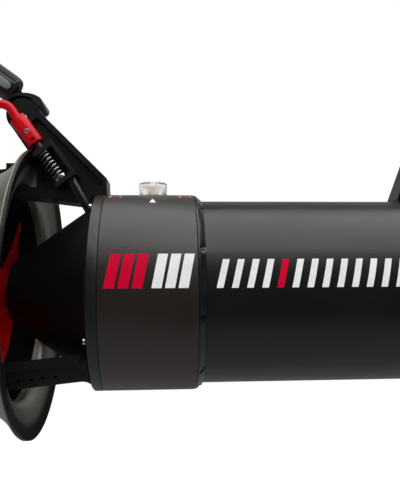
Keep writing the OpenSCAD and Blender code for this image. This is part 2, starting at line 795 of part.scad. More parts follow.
module shaft_seal() color("#151515") {
    ring(seal_x, cone_end_x + 7.9, shaft_r + 0.06, 9.5 - slack);
}
module bearing(x0, x1, r_out) {
    ring(x0, x1, shaft_r + slack, shaft_r + 2.4);
    ring(x0, x1, r_out - 2.4, r_out);
    for (i = [0:8])
        rotate([40 * i, 0, 0])
            translate([(x0 + x1) / 2, 0, (shaft_r + r_out) / 2])
                sphere(r = (r_out - shaft_r) / 2 - 2.5, $fn = 24);
}
module rear_bearing() color("#aeb0b2") bearing(cone_end_x + 8.1, cone_end_x + 18, 14);
motor_back = bulkhead_front + slack;
motor_len = 62;
motor_front = motor_back + motor_len;
stator_back = motor_back + 12;
stator_front = motor_front - 16;
module motor_housing() color("#6f7174") {
    difference() {
        rod_x(motor_back, motor_front, 80);
        rod_x(motor_back - 1, motor_front - 5, 76);
        rod_x(motor_front - 12, motor_front + 1, 9);
    }
    difference() {
        rod_x(motor_front - 14, motor_front - 4.9, 19);
        rod_x(motor_front - 15, motor_front - 4, 14 + slack);
    }
}
module front_bearing() color("#aeb0b2") bearing(motor_front - 13.9, motor_front - 5.1, 14);
module stator() color("#77797b") {
    difference() {
        rod_x(stator_back, stator_front, 76 - slack);
        rod_x(stator_back - 1, stator_front + 1, 50);
        for (i = [0:17])
            rotate([20 * i, 0, 0]) translate([stator_back - 1, -3.5, 53]) cube([80, 7, 14]);
    }
}
module windings() color("#b5652b") {
    for (i = [0:17])
        rotate([20 * i, 0, 0])
            translate([stator_back - 5, -3.3, 53.4]) cube([stator_front - stator_back + 9, 6.6, 13.2]);
}
module rotor() color("#8f9193") {
    difference() {
        rod_x(stator_back + 1, stator_front - 1, 45);
        rod_x(stator_back, stator_front, shaft_r + slack / 2);
        rod_x(stator_back, stator_back + 8, 36);
        rod_x(stator_front - 8, stator_front, 36);
    }
}
module rotor_magnets() color("#5a5c5f") {
    difference() {
        ring(stator_back + 1, stator_front - 1, 45 + slack, 49);
        for (i = [0:13])
            rotate([360 / 14 * i, 0, 0]) translate([stator_back, -0.6, 45]) cube([80, 1.2, 10]);
    }
}

// ---- Electronics and battery --------------------------------------------

module sensor_board() color("#1f5a34") {
    translate([tube_back + 24, -14, bore_r - 8]) cube([40, 28, 1.6]);
    translate([dial_x - 4, -4, bore_r - 6.35]) cube([8, 8, 3]);
}
plate_x = motor_front + 8;
module controller_plate() color("#9a9da0") {
    difference() {
        rod_x(plate_x, plate_x + 6, bore_r - 0.5);
        for (s = [-1, 1]) translate([plate_x - 1, s * 50, 40]) rotate([0, 90, 0])
            cylinder(h = 10, d = 12);
        translate([plate_x - 1, -20, bore_r - 12]) cube([10, 40, 20]);
        rail_holes();
    }
}
board_x = plate_x + 6 + slack;
module controller_board() color("#1f5a34") {
    translate([board_x, -45, 8]) cube([104, 90, 2]);
    for (i = [0:2], s = [-1, 1])
        translate([board_x + 12 + 26 * i, s * 26 - 6, 10]) cube([15, 12, 5]);
}
module capacitors() color("#28292c") {
    for (i = [0:3])
        translate([board_x + 18 + 20 * i, 0, 10.05]) cylinder(h = 26, d = 16, $fn = 32);
}
pack_len = 168;
pack_gap = 10;
plates_x = [board_x + 112, board_x + 112 + 2 * pack_len + pack_gap + 6];
pack_x = plates_x[0] + 5 + slack;
module pack(x) {
    difference() {
        rod_x(x, x + pack_len, 80);
        for (s = [-1, 1]) translate([x - 1, s > 0 ? 60 : -100, -100]) cube([pack_len + 2, 40, 200]);
        for (i = [1:5])
            translate([x + i * pack_len / 6 - 1, -61, 0]) difference() {
                translate([0, 0, -90]) cube([2, 122, 180]);
                translate([-1, 61, 0]) rotate([0, 90, 0]) cylinder(h = 4, r = 78.5);
            }
    }
}
module battery_rear() color("#2456a6") pack(pack_x);
module battery_front() color("#2456a6") pack(pack_x + pack_len + pack_gap);
rail_r = 4;
module rails_at(r, x0, x1) {
    for (a = [0, 180], s = [-1, 1])
        at_angle(a + s * 22) translate([0, 0, 76]) rod_x(x0, x1, r);
}
module rail_holes() rails_at(rail_r + slack, plate_x - 1, plate_x + 8);
module battery_rails() color("#b4b6b8") rails_at(rail_r, plate_x, plates_x[1] + 5);
module battery_plates() color("#9a9da0") {
    difference() {
        for (x = plates_x) rod_x(x, x + 5, bore_r - 1.5);
        rails_at(rail_r + slack, plates_x[0] - 1, plates_x[1] + 6);
        for (x = plates_x) rod_x(x - 1, x + 7, 22);
    }
}
module power_leads() color("#a51717") {
    for (s = [-1, 1])
        translate([0, s * 11, -12]) rod_x(plate_x + 7, plates_x[0] + 3, 4);
}
module trim_weight() color("#6d6f73") {
    intersection() {
        ring(plates_x[1] + 5.1, nose_x - skirt_len - 1, 60, bore_r - 1);
        translate([0, -60, -100]) cube([nose_x, 120, 60]);
    }
}

hull_tube();
nose_cap();
nose_o_rings();
nose_screws();
joint_ring();
joint_screws();
tail_housing();
tail_ring();
top_arm();
near_arm();
far_arm();
ring_screws();
stern_cone();
bulkhead();
tail_o_rings();
shroud_bell();
throat_liner();
shroud_screws();
tow_eye();
tow_eye_screws();
handle_beam();
beam_bolts();
hand_guard();
grip_sleeve();
grip_cap();
grip_bolt();
spring_bracket();
bracket_screws();
return_spring();
spring_collar();
pushrod();
rod_magnet();
trigger_sleeve();
sleeve_screws();
trigger_bar();
speed_dial();
dial_spindle();
carry_handle();
carry_handle_bolts();
propeller();
prop_nut();
prop_shaft();
rotor();
rotor_magnets();
stator();
windings();
motor_housing();
front_bearing();
rear_bearing();
shaft_seal();
sensor_board();
controller_plate();
controller_board();
capacitors();
battery_rear();
battery_front();
battery_rails();
battery_plates();
power_leads();
trim_weight();
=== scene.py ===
"""Looks for an underwater scooter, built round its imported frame.

The frame carries every rigid part. This script dresses those parts, replaces the ones that need
finer meshes, adds the printed marks, and sets the light, the floor and the camera.
"""

from __future__ import annotations

import logging
import math
from abc import ABC, abstractmethod
from dataclasses import dataclass
from enum import Enum
from typing import Callable, Iterable, Sequence

import bmesh
import bpy
from mathutils import Matrix, Vector

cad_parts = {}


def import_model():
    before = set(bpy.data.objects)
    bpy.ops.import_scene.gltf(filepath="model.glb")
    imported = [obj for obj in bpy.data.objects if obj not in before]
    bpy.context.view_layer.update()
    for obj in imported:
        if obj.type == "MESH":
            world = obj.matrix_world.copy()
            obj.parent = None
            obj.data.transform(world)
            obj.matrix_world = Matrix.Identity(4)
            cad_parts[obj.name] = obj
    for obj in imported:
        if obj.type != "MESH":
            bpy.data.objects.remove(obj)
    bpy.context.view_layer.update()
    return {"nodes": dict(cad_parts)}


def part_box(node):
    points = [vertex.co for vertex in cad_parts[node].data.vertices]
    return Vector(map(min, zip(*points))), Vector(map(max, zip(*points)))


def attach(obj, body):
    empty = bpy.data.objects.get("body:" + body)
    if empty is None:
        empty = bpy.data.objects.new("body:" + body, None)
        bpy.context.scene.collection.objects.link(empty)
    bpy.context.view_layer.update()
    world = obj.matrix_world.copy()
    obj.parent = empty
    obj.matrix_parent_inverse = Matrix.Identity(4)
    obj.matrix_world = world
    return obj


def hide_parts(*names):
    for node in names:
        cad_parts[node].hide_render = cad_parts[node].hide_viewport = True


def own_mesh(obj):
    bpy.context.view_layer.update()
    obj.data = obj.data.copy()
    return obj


LOG = logging.getLogger("scooter")

# Vertices closer than this, in metres, are one; faces that bend less than FLAT_ANGLE are flat;
# edges that bend more than EDGE_ANGLE are rounded. Both angles are in degrees.
SAME_PLACE = 0.000002
FLAT_ANGLE = 0.4
EDGE_ANGLE = 32.0

Colour = tuple[float, float, float]
Point = tuple[float, float, float]


class Body(Enum):
    """The rigid bodies of the frame that pieces ride on."""

    HULL = "hull"
    TRIGGER = "trigger"
    SCREW = "screw"


# ---------------------------------------------------------------- materials


class Graph:
    """A material's node tree, with short calls for the nodes that the finishes share."""

    def __init__(self, name: str) -> None:
        """Starts a material that has only its shader and its output.

        Args:
            name: The material's name.
        """
        self.material = bpy.data.materials.new(name)
        self.material.use_nodes = True
        self.tree = self.material.node_tree
        self.shader = self.tree.nodes["Principled BSDF"]
        self._place = self.tree.nodes.new("ShaderNodeTexCoord").outputs["Object"]

    def set(self, **values: object) -> None:
        """Sets sockets of the shader, named with underscores for spaces."""
        for name, value in values.items():
            socket = self.shader.inputs[name.replace("_", " ")]
            socket.default_value = (*value, 1.0) if isinstance(value, tuple) else value

    def link(self, source: bpy.types.NodeSocket, target: str) -> None:
        """Links a socket to one of the shader's inputs."""
        self.tree.links.new(source, self.shader.inputs[target])

    def place(self, stretch: Point = (1, 1, 1)) -> bpy.types.NodeSocket:
        """Object coordinates, scaled along each axis."""
        mapping = self.tree.nodes.new("ShaderNodeMapping")
        mapping.inputs["Scale"].default_value = stretch
        self.tree.links.new(self._place, mapping.inputs["Vector"])
        return mapping.outputs["Vector"]

    def noise(
        self, scale: float, detail: float = 3.0, roughness: float = 0.5,
        stretch: Point = (1, 1, 1), distortion: float = 0.0,
    ) -> bpy.types.NodeSocket:
        """A noise value in object space.

        Args:
            scale: Cells to the metre.
            detail: Octaves of noise.
            roughness: Share that each octave keeps.
            stretch: The scale along each axis.
            distortion: How far the noise bends itself.

        Returns:
            The noise's value socket.
        """
        node = self.tree.nodes.new("ShaderNodeTexNoise")
        node.inputs["Scale"].default_value = scale
        node.inputs["Detail"].default_value = detail
        node.inputs["Roughness"].default_value = roughness
        node.inputs["Distortion"].default_value = distortion
        self.tree.links.new(self.place(stretch), node.inputs["Vector"])
        return node.outputs["Fac"]

    def cells(self, scale: float) -> bpy.types.NodeSocket:
        """The distance to the nearest cell centre of a Voronoi pattern in object space."""
        node = self.tree.nodes.new("ShaderNodeTexVoronoi")
        node.inputs["Scale"].default_value = scale
        self.tree.links.new(self.place(), node.inputs["Vector"])
        return node.outputs["Distance"]

    def spread(
        self, source: bpy.types.NodeSocket, low: float, high: float,
        start: float = 0.0, end: float = 1.0,
    ) -> bpy.types.NodeSocket:
        """Maps a value from start..end to low..high, held at the ends.

        Args:
            source: The value to map.
            low: The result at start.
            high: The result at end.
            start: The source value that gives low.
            end: The source value that gives high.

        Returns:
            The mapped value's socket.
        """
        node = self.tree.nodes.new("ShaderNodeMapRange")
        self.tree.links.new(source, node.inputs["Value"])
        for name, value in (("From Min", start), ("From Max", end),
                            ("To Min", low), ("To Max", high)):
            node.inputs[name].default_value = value
        return node.outputs["Result"]

    def along_x(self, start: float, end: float) -> bpy.types.NodeSocket:
        """A share that rises from 0 to 1 between two x positions on the object.

        Args:
            start: Where the share is 0, in metres.
            end: Where it is 1.

        Returns:
            The share's socket.
        """
        split = self.tree.nodes.new("ShaderNodeSeparateXYZ")
        self.tree.links.new(self._place, split.inputs[0])
        return self.spread(split.outputs["X"], 0.0, 1.0, start, end)

    def math(
        self, operation: str, a: bpy.types.NodeSocket, b: bpy.types.NodeSocket | float
    ) -> bpy.types.NodeSocket:
        """One arithmetic step on a varying value."""
        node = self.tree.nodes.new("ShaderNodeMath")
        node.operation = operation
        self.tree.links.new(a, node.inputs[0])
        if isinstance(b, (int, float)):
            node.inputs[1].default_value = b
        else:
            self.tree.links.new(b, node.inputs[1])
        return node.outputs[0]

    def ramp(
        self, source: bpy.types.NodeSocket, stops: Sequence[tuple[float, Colour]]
    ) -> bpy.types.NodeSocket:
        """Turns a value into a colour through a list of stops.

        Args:
            source: The value, from 0 to 1.
            stops: Pairs of position and linear colour.

        Returns:
            The colour's socket.
        """
        node = self.tree.nodes.new("ShaderNodeValToRGB")
        elements = node.color_ramp.elements
        while len(elements) < len(stops):
            elements.new(0.5)
        for element, (position, colour) in zip(elements, stops):
            element.position = position
            element.color = (*colour, 1.0)
        self.tree.links.new(source, node.inputs["Fac"])
        return node.outputs["Color"]

    def blend(
        self, factor: bpy.types.NodeSocket, a: bpy.types.NodeSocket, b: bpy.types.NodeSocket
    ) -> bpy.types.NodeSocket:
        """Mixes two colours by a varying factor."""
        node = self.tree.nodes.new("ShaderNodeMix")
        node.data_type = "RGBA"
        self.tree.links.new(factor, node.inputs["Factor"])
        self.tree.links.new(a, node.inputs["A"])
        self.tree.links.new(b, node.inputs["B"])
        return node.outputs["Result"]

    def bump(
        self, height: bpy.types.NodeSocket, strength: float, distance: float,
        under: bpy.types.NodeSocket | None = None,
    ) -> bpy.types.NodeSocket:
        """A bump from a height value.

        Args:
            height: The height's socket.
            strength: The share of the bump that shows.
            distance: The height's full depth in metres.
            under: A normal that this one lies on.

        Returns:
            The normal's socket.
        """
        node = self.tree.nodes.new("ShaderNodeBump")
        node.inputs["Strength"].default_value = strength
        node.inputs["Distance"].default_value = distance
        self.tree.links.new(height, node.inputs["Height"])
        if under is not None:
            self.tree.links.new(under, node.inputs["Normal"])
        return node.outputs["Normal"]


def shade(colour: Colour, factor: float) -> Colour:
    """A colour made lighter or darker by a factor."""
    return tuple(min(1.0, c * factor) for c in colour)


@dataclass(frozen=True)
class Finish(ABC):
    """A surface finish that can make its own material."""

    name: str
    colour: Colour
    roughness: float = 0.5

    @abstractmethod
    def paint(self, graph: Graph) -> None:
        """Builds the finish's nodes on a fresh graph."""

    def mottle(
        self, graph: Graph, source: bpy.types.NodeSocket, dark: float, light: float,
        stops: Point = (0.3, 0.55, 0.8),
    ) -> bpy.types.NodeSocket:
        """The finish's colour, darker where a source is low and lighter where it is high."""
        tones = (shade(self.colour, dark), self.colour, shade(self.colour, light))
        return graph.ramp(source, tuple(zip(stops, tones)))

    def uneven(
        self, graph: Graph, source: bpy.types.NodeSocket, less: float, more: float
    ) -> bpy.types.NodeSocket:
        """The finish's roughness, from a little less to a little more as a source rises."""
        return graph.spread(source, self.roughness - less, self.roughness + more, 0.3, 0.7)

    def material(self) -> bpy.types.Material:
        """The finish's material, made once and then shared.

        Returns:
            The material.
        """
        # The frame brings materials of its own, so these go by names that it doesn't use.
        own_name = f"finish_{self.name}"
        made = bpy.data.materials.get(own_name)
        if made is None:
            graph = Graph(own_name)
            self.paint(graph)
            made = graph.material
        return made


@dataclass(frozen=True)
class Anodised(Finish):
    """Turned and anodised aluminium: a fine lathe grain, faint handling marks and soft mottling."""

    roughness: float = 0.36
    grain: float = 1.0
    sheen: float = 0.5
    metallic: float = 0.0

    def paint(self, graph: Graph) -> None:
        """Builds the mottled colour, the roughness that varies and the lathe grain."""
        cloud = graph.noise(9.0, 4.0, 0.6)
        fine = graph.noise(260.0, 3.0, 0.6)
        mixed = graph.math("ADD", graph.math("MULTIPLY", cloud, 0.75),
                           graph.math("MULTIPLY", fine, 0.25))
        colour = self.mottle(graph, mixed, 0.8, 1.28, (0.3, 0.52, 0.75))
        scuff = graph.noise(34.0, 6.0, 0.72, (0.35, 1.0, 1.0), distortion=0.8)
        scuff_mask = graph.spread(scuff, 0.0, 1.0, 0.62, 0.74)
        worn = graph.ramp(fine, ((0.3, shade(self.colour, 1.4)), (0.7, shade(self.colour, 2.0))))
        graph.link(graph.blend(graph.math("MULTIPLY", scuff_mask, 0.22), colour, worn),
                   "Base Color")
        rough = self.uneven(graph, cloud, 0.05, 0.07)
        graph.link(graph.math("ADD", rough, graph.math("MULTIPLY", scuff_mask, 0.08)),
                   "Roughness")
        lathe = graph.noise(1.0, 2.0, 0.6, (2600.0, 22.0, 22.0))
        peel = graph.noise(950.0, 2.0, 0.5)
        lines = graph.bump(lathe, 0.10 * self.grain, 0.00004)
        graph.link(graph.bump(peel, 0.12 * self.grain, 0.00005, lines), "Normal")
        graph.set(Metallic=self.metallic, Specular_IOR_Level=self.sheen)


@dataclass(frozen=True)
class Moulded(Finish):
    """Moulded plastic with a spark-eroded texture, flow mottling and dull rubs."""

    roughness: float = 0.48
    texture: float = 1.0
    grain_size: float = 1500.0
    sheen: float = 0.5

    def paint(self, graph: Graph) -> None:
        """Builds the leathery grain and the rubbed patches."""
        cloud = graph.noise(14.0, 5.0, 0.6, distortion=0.4)
        speck = graph.noise(620.0, 2.0, 0.5)
        base = self.mottle(graph, cloud, 0.84, 1.18, (0.28, 0.5, 0.74))
        dust = graph.ramp(speck, ((0.4, shade(self.colour, 0.92)),
                                  (0.75, shade(self.colour, 1.5))))
        rub = graph.spread(graph.noise(55.0, 6.0, 0.75, distortion=1.2), 0.0, 0.32, 0.58, 0.8)
        graph.link(graph.blend(rub, base, dust), "Base Color")
        graph.link(graph.spread(cloud, self.roughness - 0.06, self.roughness + 0.08, 0.3, 0.72),
                   "Roughness")
        pits = graph.cells(self.grain_size)
        waves = graph.noise(85.0, 2.0, 0.5)
        low = graph.bump(waves, 0.10 * self.texture, 0.0004)
        graph.link(graph.bump(pits, 0.22 * self.texture, 0.00012, low), "Normal")
        graph.set(Specular_IOR_Level=self.sheen)


@dataclass(frozen=True)
class BellSkin(Finish):
    """Satin metallic paint over a turned bell, with painted shade darkening a narrow ring at the
    intake rim.
    """

    roughness: float = 0.32
    metallic: float = 0.85
    rim_shade_start: float = -0.1722
    rim_shade_end: float = -0.1700

    def paint(self, graph: Graph) -> None:
        """Builds the mottled paint, the painted shade at the intake rim and the turned grain."""
        cloud = graph.noise(11.0, 4.0, 0.6, distortion=0.3)
        fine = graph.noise(420.0, 3.0, 0.6)
        skin = self.mottle(graph, cloud, 0.84, 1.16, (0.3, 0.52, 0.75))
        # Painted shade: a narrow ring at the intake rim is near black, for the little light that the
        # rim's forward face gets.
        rim = graph.ramp(fine, ((0.35, shade(self.colour, 0.05)), (0.7, shade(self.colour, 0.09))))
        rim_shade_mask = graph.along_x(self.rim_shade_start, self.rim_shade_end)
        graph.link(graph.blend(rim_shade_mask, skin, rim), "Base Color")
        graph.link(self.uneven(graph, cloud, 0.05, 0.08), "Roughness")
        turned = graph.noise(1.0, 2.0, 0.6, (1800.0, 16.0, 16.0))
        lines = graph.bump(turned, 0.10, 0.00005)
        graph.link(graph.bump(graph.noise(900.0, 2.0, 0.5), 0.14, 0.00006, lines), "Normal")
        graph.set(Metallic=self.metallic)


@dataclass(frozen=True)
class Lacquer(Finish):
    """A glossy coloured coat over smooth metal or plastic, with faint orange peel and wear."""

    roughness: float = 0.24
    coat: float = 0.6
    metallic: float = 0.0
    sheen: float = 0.5

    def paint(self, graph: Graph) -> None:
        """Builds the deep colour, its lighter worn spots and the orange peel."""
        cloud = graph.noise(24.0, 4.0, 0.6)
        base = self.mottle(graph, cloud, 0.78, 1.2)
        nick = graph.spread(graph.noise(210.0, 4.0, 0.8), 0.0, 0.5, 0.70, 0.78)
        worn = graph.ramp(cloud, ((0.3, shade(self.colour, 0.5)), (0.7, shade(self.colour, 0.7))))
        graph.link(graph.blend(nick, base, worn), "Base Color")
        graph.link(self.uneven(graph, cloud, 0.05, 0.08), "Roughness")
        graph.link(graph.bump(graph.noise(420.0, 1.0, 0.4), 0.10, 0.00012), "Normal")
        graph.set(Coat_Weight=self.coat, Coat_Roughness=0.16, Metallic=self.metallic,
                  Specular_IOR_Level=self.sheen)


@dataclass(frozen=True)
class Steel(Finish):
    """Stainless steel with a drawn or turned grain."""

    roughness: float = 0.28
    along: Point = (40.0, 1.0, 1.0)

    def paint(self, graph: Graph) -> None:
        """Builds the drawn grain and the tarnish."""
        cloud = graph.noise(120.0, 3.0, 0.6)
        grain = graph.noise(300.0, 3.0, 0.6, self.along)
        graph.link(graph.ramp(cloud, ((0.3, shade(self.colour, 0.8)), (0.6, self.colour))),
                   "Base Color")
        graph.link(self.uneven(graph, grain, 0.08, 0.12), "Roughness")
        graph.link(graph.bump(grain, 0.12, 0.00004), "Normal")
        graph.set(Metallic=1.0)


@dataclass(frozen=True)
class Rubber(Finish):
    """Moulded rubber: dull, slightly grey where it is rubbed, with a fine pebble."""

    roughness: float = 0.62

    def paint(self, graph: Graph) -> None:
        """Builds the dusty colour and the pebbled skin."""
        cloud = graph.noise(60.0, 5.0, 0.7)
        graph.link(self.mottle(graph, cloud, 0.8, 1.6), "Base Color")
        graph.link(self.uneven(graph, cloud, 0.08, 0.1), "Roughness")
        pebble = graph.cells(900.0)
        graph.link(graph.bump(pebble, 0.3, 0.0002), "Normal")
        graph.set(Specular_IOR_Level=0.45, Sheen_Weight=0.15)


@dataclass(frozen=True)
class Frosted(Finish):
    """Milky clear plastic with a lightly frosted skin."""

    roughness: float = 0.22
    clear: float = 0.7

    def paint(self, graph: Graph) -> None:
        """Builds the milky tint and the frosting."""
        cloud = graph.noise(180.0, 3.0, 0.5)
        graph.link(graph.ramp(cloud, ((0.3, shade(self.colour, 0.94)), (0.7, self.colour))),
                   "Base Color")
        graph.link(self.uneven(graph, cloud, 0.08, 0.1), "Roughness")
        graph.link(graph.bump(graph.noise(900.0, 2.0, 0.5), 0.08, 0.0001), "Normal")
        graph.set(Transmission_Weight=self.clear, IOR=1.46)


@dataclass(frozen=True)
class Print(Finish):
    """A screen-printed or vinyl mark: even colour with a slight weave, thin spots and gloss."""

    roughness: float = 0.42
    sheen: float = 0.12

    def paint(self, graph: Graph) -> None:
        """Builds the ink's slight unevenness."""
        cloud = graph.noise(70.0, 4.0, 0.6)
        speck = graph.noise(1400.0, 2.0, 0.5)
        base = graph.ramp(cloud, ((0.25, shade(self.colour, 0.9)), (0.6, self.colour)))
        thin = graph.ramp(cloud, ((0.3, shade(self.colour, 0.72)), (0.7, shade(self.colour, 0.8))))
        graph.link(graph.blend(graph.spread(speck, 0.0, 0.4, 0.66, 0.8), base, thin),
                   "Base Color")
        graph.link(self.uneven(graph, cloud, 0.05, 0.06), "Roughness")
        graph.link(graph.bump(speck, 0.08, 0.00004), "Normal")
        graph.set(Specular_IOR_Level=self.sheen)


@dataclass(frozen=True)
class Backdrop(Finish):
    """The pale floor, matt with a trace of unevenness and a little light of its own."""

    glow: float = 0.9

    def paint(self, graph: Graph) -> None:
        """Builds the near-white floor."""
        cloud = graph.noise(1.2, 3.0, 0.5)
        graph.link(graph.ramp(cloud, ((0.2, shade(self.colour, 0.985)), (0.8, self.colour))),
                   "Base Color")
        graph.set(Roughness=0.85, Specular_IOR_Level=0.1, Emission_Color=(1.0, 1.0, 1.0),
                  Emission_Strength=self.glow)


HULL_BLACK = Anodised("hull_black", (0.0052, 0.0051, 0.0049), roughness=0.34)
TAIL_GREY = Anodised("tail_grey", (0.0150, 0.0098, 0.0080), roughness=0.42, sheen=0.60)
RING_DARK = Anodised("ring_dark", (0.0080, 0.0079, 0.0076), roughness=0.38)
# Painted shade: the side arms take a darker, duller copy of the rings' anodising, for the shade that
# they sit in under the cone.
ARM_SHADED = Anodised("arm_shaded", (0.0045, 0.0044, 0.0043), roughness=0.5, sheen=0.07)
BEVEL_DARK = Anodised("bevel_dark", (0.0062, 0.0061, 0.0059), roughness=0.28)
CONE_BLACK = Moulded("cone_black", (0.0036, 0.0029, 0.0024), roughness=0.46, sheen=0.18)
NOSE_BLACK = Moulded("nose_black", (0.0055, 0.0055, 0.0057), roughness=0.40)
SHROUD_GREY = BellSkin("shroud_grey", (0.40, 0.39, 0.35), roughness=0.42, metallic=1.0)
# Painted shade: the throat liner is near black and barely shiny, standing in for the shade deep
# inside the duct.
THROAT_SHADE_BLACK = Moulded("liner_black", (0.0022, 0.0022, 0.0022), roughness=0.6, sheen=0.03)
BEAM_BLACK = Moulded("beam_black", (0.0044, 0.0042, 0.0038), roughness=0.36, texture=0.5,
                     sheen=0.5)
GUARD_BLACK = Moulded("guard_black", (0.0110, 0.0108, 0.0105), roughness=0.30, texture=0.6,
                      sheen=0.8)
BRACKET_BLACK = Moulded("bracket_black", (0.0085, 0.0080, 0.0074), roughness=0.36, texture=0.6,
                        sheen=0.45)
GRIP_RUBBER = Rubber("grip_rubber", (0.0085, 0.0080, 0.0076), roughness=0.42)
# Painted highlight: the smooth flank inlays are light grey, standing in for the overhead light's
# reflection along the grip's flank.
INLAY_HIGHLIGHT = Moulded("inlay_highlight", (0.17, 0.19, 0.18), roughness=0.34, texture=0.5, sheen=0.7)
SEAL_RUBBER = Rubber("seal_rubber", (0.010, 0.010, 0.010))
TRIGGER_RED = Lacquer("trigger_red", (0.56, 0.0012, 0.007), roughness=0.26, coat=0.10,
                      sheen=0.20)
PROPELLER_RED = Lacquer("propeller_red", (0.30, 0.001, 0.003), roughness=0.32, coat=0.03,
                        sheen=0.05)
STEEL = Steel("steel", (0.70, 0.70, 0.69))
SCREW_DARK = Steel("screw_dark", (0.10, 0.10, 0.10), roughness=0.35)
SPRING_STEEL = Steel("spring_steel", (0.66, 0.66, 0.65), roughness=0.2, along=(1, 1, 1))
DIAL_CLEAR = Frosted("dial_clear", (0.98, 0.955, 0.92), roughness=0.09, clear=0.82)
DIAL_WHITE = Print("dial_white", (0.82, 0.80, 0.78), roughness=0.4)
MARK_WHITE = Print("mark_white", (0.88, 0.875, 0.87))
MARK_RED = Print("mark_red", (0.62, 0.0015, 0.032), sheen=0.06)
MARK_ORANGE = Print("mark_orange", (0.72, 0.30, 0.10))
MARK_BLUE = Print("mark_blue", (0.25, 0.25, 0.45))
ALUMINIUM = Steel("aluminium_raw", (0.52, 0.53, 0.54), roughness=0.4)
MAGNET = Steel("magnet", (0.55, 0.55, 0.57), roughness=0.2)
IRON = Steel("iron", (0.20, 0.20, 0.21), roughness=0.5)
COPPER = Lacquer("copper", (0.50, 0.19, 0.06), roughness=0.32, metallic=0.8)
BOARD_GREEN = Lacquer("board_green", (0.012, 0.11, 0.04), roughness=0.4, coat=0.2)
CAN_BLACK = Lacquer("capacitor_black", (0.016, 0.016, 0.02), roughness=0.35, coat=0.3)
PACK_BLUE = Lacquer("battery_blue", (0.012, 0.055, 0.25), roughness=0.35, coat=0.3)
LEAD_RED = Rubber("lead_red", (0.35, 0.012, 0.012))
LEAD_METAL = Moulded("lead_metal", (0.13, 0.135, 0.145), roughness=0.55)


# ---------------------------------------------------------------- mesh help


def new_object(name: str, mesh: bpy.types.Mesh) -> bpy.types.Object:
    """Links a mesh to the scene under a name.

    Args:
        name: The piece's name.
        mesh: Its mesh.

    Returns:
        The new object.
    """
    piece = bpy.data.objects.new(name, mesh)
    bpy.context.scene.collection.objects.link(piece)
    return piece


def finish_piece(
    piece: bpy.types.Object, body: Body, finish: Finish, slot: str,
    stands_for: Iterable[str] = (),
) -> bpy.types.Object:
    """Dresses a piece, rides it on its body and names its slot.

    Args:
        piece: The piece.
        body: The body that it moves with.
        finish: Its surface finish.
        slot: The record's material slot.
        stands_for: The frame's nodes that it replaces.

    Returns:
        The same piece.
    """
    piece.data.materials.clear()
    piece.data.materials.append(finish.material())
    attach(piece, body.value)
    names = tuple(stands_for)
    if names:
        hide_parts(*names)
    LOG.info("%s rides on %s in %s", piece.name, body.value, slot)
    return piece


def mesh_from_rings(
    name: str, rings: Sequence[Sequence[Vector]], closed: bool = True, caps: bool = True
) -> bpy.types.Mesh:
    """A skin over rings of equal length.

    Args:
        name: The mesh's name.
        rings: The rings, in order.
        closed: Whether each ring joins up with itself.
        caps: Whether the first and last rings are filled.

    Returns:
        The mesh, with its faces turned outwards.
    """
    form = bmesh.new()
    rows = [[form.verts.new(p) for p in ring] for ring in rings]
    for a, b in zip(rows, rows[1:]):
        count = len(a) if closed else len(a) - 1
        for k in range(count):
            n = (k + 1) % len(a)
            form.faces.new((a[k], a[n], b[n], b[k]))
    if caps:
        form.faces.new(rows[0][::-1])
        form.faces.new(rows[-1])
    bmesh.ops.recalc_face_normals(form, faces=form.faces)
    mesh = bpy.data.meshes.new(name)
    form.to_mesh(mesh)
    form.free()
    mesh.shade_smooth()
    return mesh


def sharpen(piece: bpy.types.Object, angle: float = 35.0) -> None:
    """Splits a piece's shading where its faces meet at more than an angle in degrees."""
    piece.data.set_sharp_from_angle(angle=math.radians(angle))


def soften(piece: bpy.types.Object, width: float, segments: int) -> None:
    """Rounds a piece's edges with modifiers that leave its own mesh alone.

    Flat areas are joined to single faces first, so that only true edges are rounded.

    Args:
        piece: The piece.
        width: The round's width in metres.
        segments: Faces across each round.
    """
    weld = piece.modifiers.new("weld", "WELD")
    weld.merge_threshold = SAME_PLACE
    flat = piece.modifiers.new("flat", "DECIMATE")
    flat.decimate_type = "DISSOLVE"
    flat.angle_limit = math.radians(FLAT_ANGLE)
    bevel = piece.modifiers.new("round", "BEVEL")
    bevel.width = width
    bevel.segments = segments
    bevel.limit_method = "ANGLE"
    bevel.angle_limit = math.radians(EDGE_ANGLE)
    bevel.harden_normals = True
    bevel.use_clamp_overlap = True


def lathe(
    name: str, profile: Sequence[tuple[float, float]], steps: int
) -> bpy.types.Mesh:
    """A solid of revolution about the X axis.

    Args:
        name: The mesh's name.
        profile: Points of x and radius in metres, in order round the closed section.
        steps: Faces round the axis.

    Returns:
        The mesh.
    """
    form = bmesh.new()
    rows = []
    for x, r in profile:
        rows.append([
            form.verts.new((x, r * math.sin(2 * math.pi * k / steps),
                            r * math.cos(2 * math.pi * k / steps)))
            for k in range(steps)
        ])
    for a, b in zip(rows, [*rows[1:], rows[0]]):
        for k in range(steps):
            n = (k + 1) % steps
            form.faces.new((a[k], a[n], b[n], b[k]))
    bmesh.ops.recalc_face_normals(form, faces=form.faces)
    mesh = bpy.data.meshes.new(name)
    form.to_mesh(mesh)
    form.free()
    mesh.shade_smooth()
    return mesh


def arc(
    centre: tuple[float, float], radius: float, start: float, end: float, steps: int
) -> list[tuple[float, float]]:
    """Points along an arc in a plane, with angles in degrees."""
    return [
        (centre[0] + radius * math.cos(math.radians(start + (end - start) * i / steps)),
         centre[1] + radius * math.sin(math.radians(start + (end - start) * i / steps)))
        for i in range(steps + 1)
    ]


